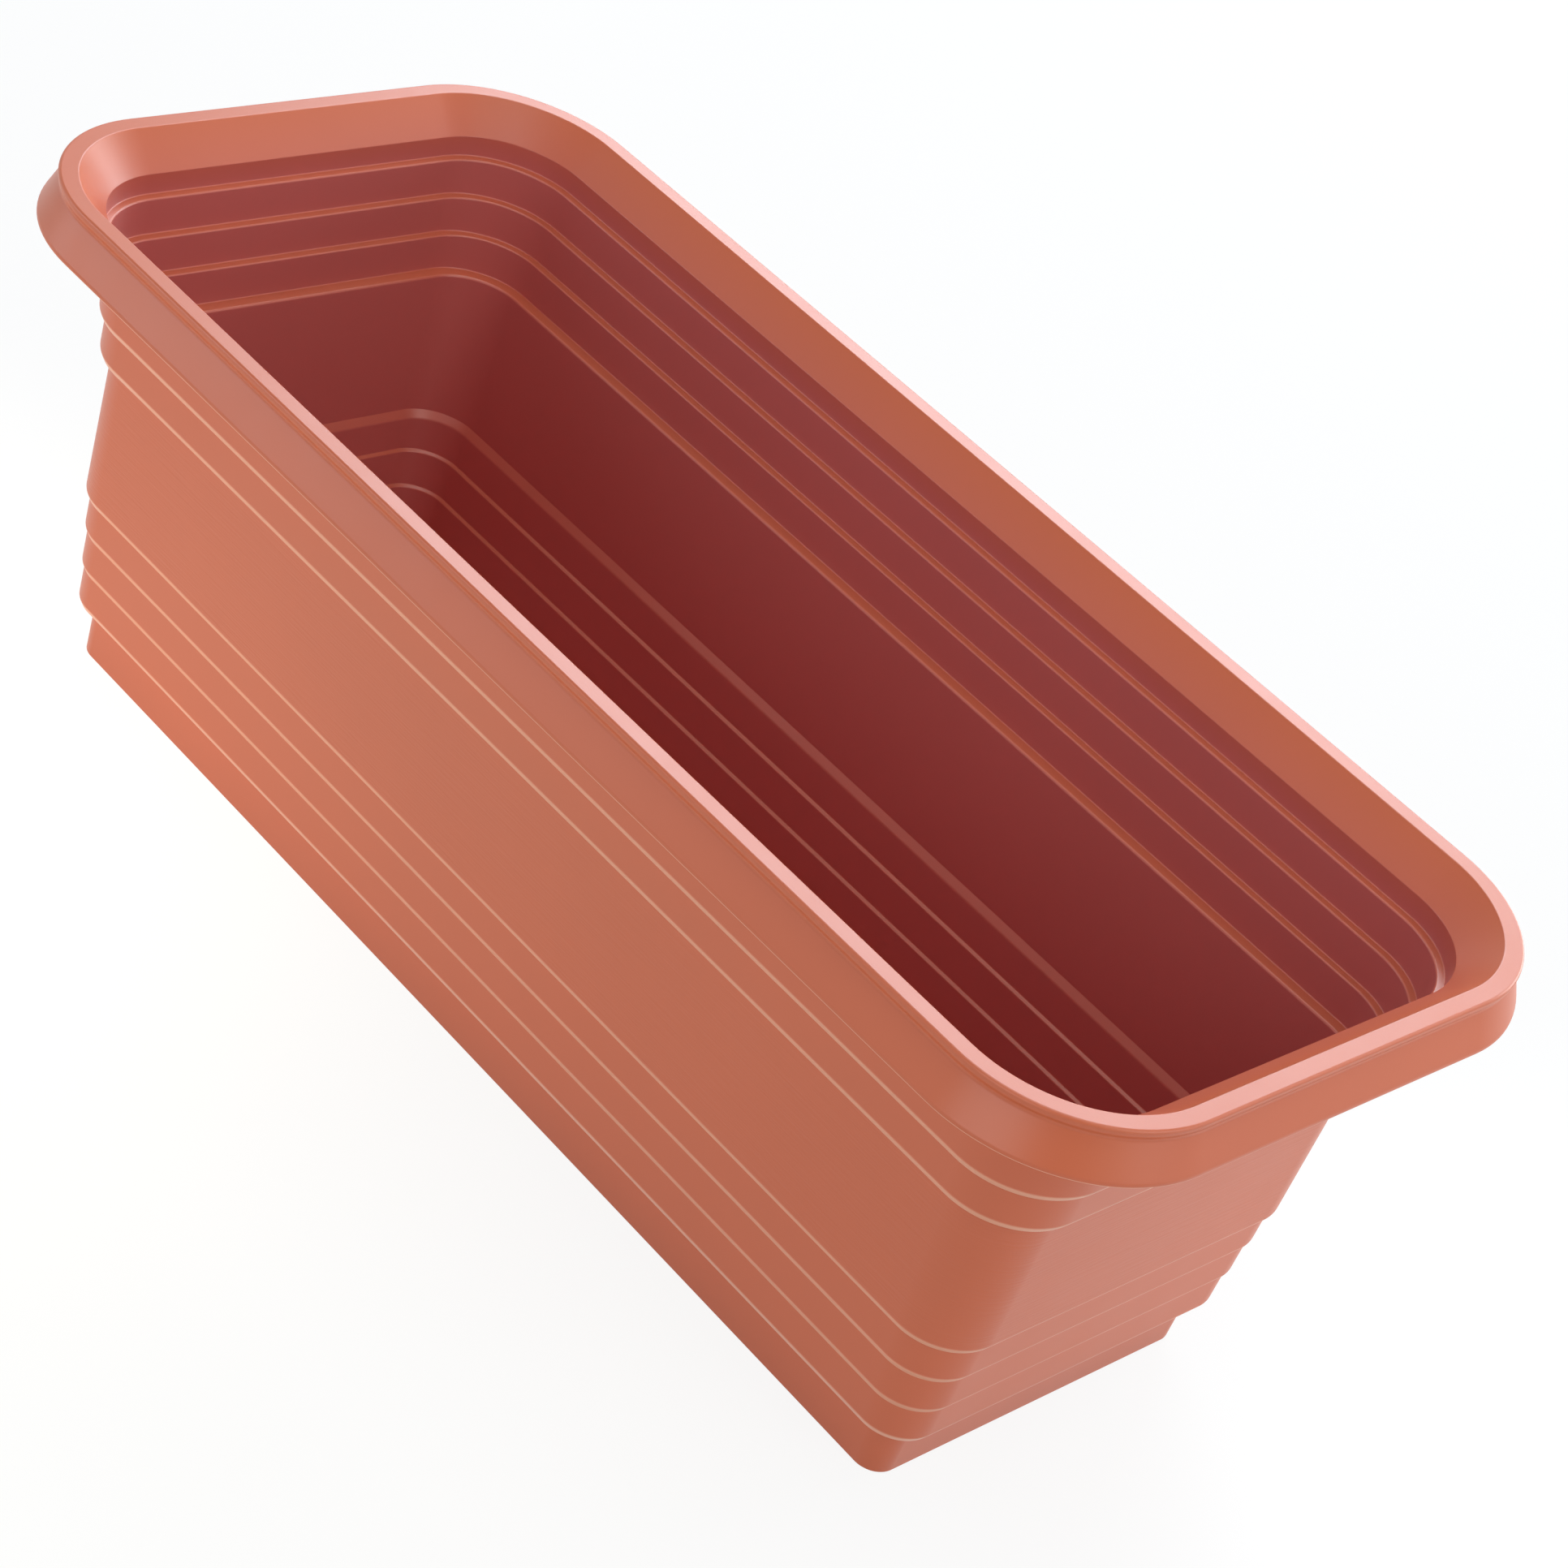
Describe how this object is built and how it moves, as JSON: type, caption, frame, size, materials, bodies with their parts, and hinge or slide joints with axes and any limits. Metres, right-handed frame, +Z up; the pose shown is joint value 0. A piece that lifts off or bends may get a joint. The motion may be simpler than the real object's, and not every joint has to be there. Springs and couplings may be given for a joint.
{
  "type": "window box planter",
  "caption": "Rectangular window box planter with a skirted rim, drafted walls stepped by small ledges and push-in plugs in its floor drain holes.",
  "frame": {"origin": "centre of the box's foot, on the ground that it stands on", "axes": "+X along the box's length, +Y across it, +Z up out of its mouth"},
  "size_m": [0.4, 0.18, 0.14],
  "materials": {
    "box_plastic": "satin moulded polypropylene, terracotta",
    "plug_plastic": "satin moulded polyethylene, terracotta"
  },
  "bodies": {
    "box": {"planter_box": "box_plastic"},
    "plug_1": {"drain_plug_1": "plug_plastic"},
    "plug_2": {"drain_plug_2": "plug_plastic"},
    "plug_3": {"drain_plug_3": "plug_plastic"}
  },
  "joints": [
    {"name": "lift_plug_1", "type": "slide", "parent": "box", "child": "plug_1", "axis": [0, 0, 1], "range_m": [0, 0.16]},
    {"name": "lift_plug_2", "type": "slide", "parent": "box", "child": "plug_2", "axis": [0, 0, 1], "range_m": [0, 0.16]},
    {"name": "lift_plug_3", "type": "slide", "parent": "box", "child": "plug_3", "axis": [0, 0, 1], "range_m": [0, 0.16]}
  ]
}
